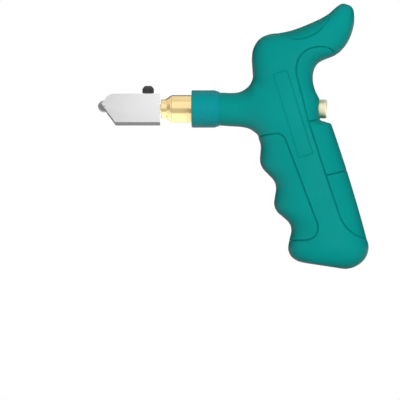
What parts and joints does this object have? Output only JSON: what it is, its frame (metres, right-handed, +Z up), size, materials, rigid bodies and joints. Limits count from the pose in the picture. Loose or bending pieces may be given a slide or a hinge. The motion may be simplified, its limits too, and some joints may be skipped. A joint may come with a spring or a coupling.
{
  "type": "pistol-grip glass cutter",
  "caption": "Hand-held glass and tile cutter with a pistol grip, soft grip pads, a brass oil barrel with a screw cap, and a sprung swivelling head with a cutting wheel.",
  "frame": {"origin": "in the middle of the hand grip's width and thickness, where the grip's long centreline crosses the axis of the barrel (mount hand_grip)", "axes": "+X runs back along the barrel from the cutting wheel to the filler cap, +Z is up towards the horn, +Y is to the tool's right with the side seen in the picture at -Y; Y = 0 is the handle's parting plane"},
  "size_m": [0.1489, 0.027, 0.1462],
  "materials": {
    "shell_plastic": "satin moulded plastic, teal",
    "pad_rubber": "soft moulded pad, teal, slightly duller than the shell",
    "collar_plastic": "half-gloss moulded plastic, bluer teal",
    "turned_brass": "bright turned brass",
    "head_metal": "pale satin plated casting",
    "wheel_carbide": "ground hard metal",
    "pin_steel": "plain steel",
    "black_screw": "black oxide on steel",
    "seal_rubber": "black seal rubber",
    "wick_felt": "woven wick"
  },
  "bodies": {
    "handle": {"left_shell": "shell_plastic", "right_shell": "shell_plastic", "finger_grip": "pad_rubber", "web_grip": "pad_rubber", "upper_palm_pad": "pad_rubber", "lower_palm_pad": "pad_rubber", "thumb_pad": "pad_rubber", "shell_screws": "pin_steel", "neck_collar": "collar_plastic", "barrel": "turned_brass", "nose_bush": "turned_brass", "nose_seal": "seal_rubber", "spindle_o_ring": "seal_rubber", "return_spring": "pin_steel"},
    "spindle": {"spindle": "turned_brass", "wick": "wick_felt", "valve_washer": "seal_rubber", "valve_nut": "turned_brass"},
    "head": {"cutter_head": "head_metal", "wheel_axle": "pin_steel"},
    "wheel": {"cutting_wheel": "wheel_carbide"},
    "lock_pad": {"lock_pad": "turned_brass"},
    "lock_screw": {"lock_screw": "black_screw"},
    "cap_seal": {"cap_o_ring": "seal_rubber"},
    "filler_cap": {"filler_cap": "turned_brass"}
  },
  "joints": [
    {"name": "head_press", "type": "slide", "parent": "handle", "child": "spindle", "axis": [1, 0, 0], "range_m": [0, 0.0005], "stiffness_N_per_m": 1500, "springref_m": -0.003, "deforming": ["return_spring"]},
    {"name": "head_swivel", "type": "hinge", "parent": "spindle", "child": "head", "pos_m": [-0.07222, 0, 0], "axis": [1, 0, 0], "range_deg": [-8, 8]},
    {"name": "wheel_spin", "type": "hinge", "parent": "head", "child": "wheel", "pos_m": [-0.10312, 0, 0.0014], "axis": [0, 1, 0], "continuous": true},
    {"name": "lock_lift", "type": "slide", "parent": "head", "child": "lock_pad", "axis": [0, 0, 1], "range_m": [0, 0.0021]},
    {"name": "lock_turn", "type": "hinge", "parent": "lock_pad", "child": "lock_screw", "pos_m": [-0.07882, 0, 0.0049], "axis": [0, 0, 1], "range_deg": [0, 1080]},
    {"name": "cap_draw", "type": "slide", "parent": "handle", "child": "cap_seal", "axis": [1, 0, 0], "range_m": [0, 0.008]},
    {"name": "cap_turn", "type": "hinge", "parent": "cap_seal", "child": "filler_cap", "pos_m": [0.015, 0, 0], "axis": [1, 0, 0], "range_deg": [0, 2880]}
  ],
  "couplings": [
    {"joint": "lock_turn", "follows": "lock_lift", "rad_per_m": 8976},
    {"joint": "cap_turn", "follows": "cap_draw", "rad_per_m": 6283.2}
  ]
}
